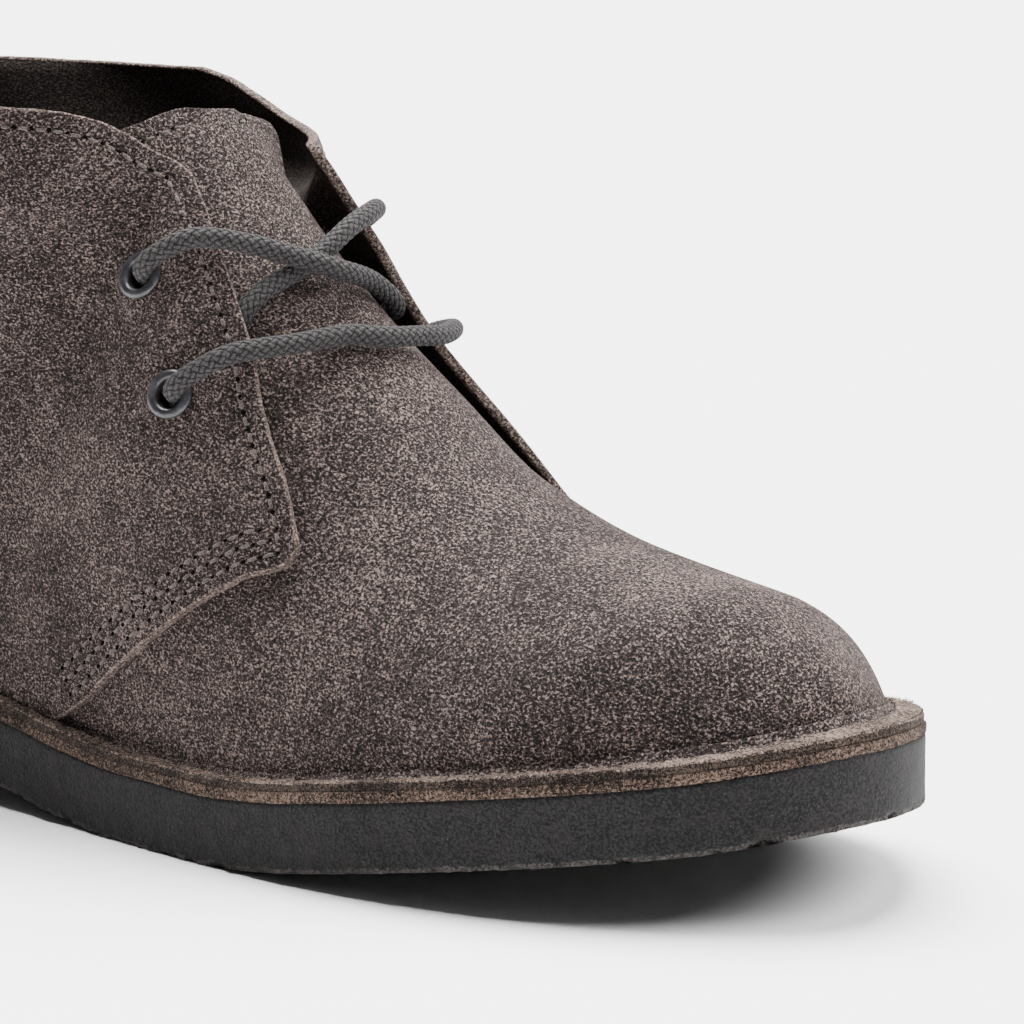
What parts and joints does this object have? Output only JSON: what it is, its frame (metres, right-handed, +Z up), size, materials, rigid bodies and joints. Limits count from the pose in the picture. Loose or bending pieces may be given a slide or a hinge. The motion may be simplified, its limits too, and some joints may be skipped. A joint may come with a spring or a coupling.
{
  "type": "desert boot",
  "caption": "Ankle-high desert boot for the right foot: soft suede upper with open-laced quarters over a plain vamp and tongue, on a thick crepe sole with a low heel.",
  "frame": {"origin": "centre of the bounding box, at floor level", "axes": "+X towards the toe, +Y towards the inner side of the foot, +Z up"},
  "size_m": [0.3, 0.1023, 0.1284],
  "materials": {
    "crepe": "matt, fine grained, cut edge",
    "midsole": "raw fibrous edge",
    "suede": "soft short nap",
    "insole": "smooth matt",
    "eyelet": "satin dark enamel",
    "lace": "round braided cord"
  },
  "bodies": {
    "root": {"outsole": "crepe", "heel_lift": "crepe", "midsole": "midsole", "upper": "suede", "insole": "insole", "eyelet_outer_upper": "eyelet", "eyelet_outer_lower": "eyelet", "eyelet_inner_upper": "eyelet", "eyelet_inner_lower": "eyelet", "lace_cross": "lace", "lace_bar": "lace"}
  },
  "joints": []
}
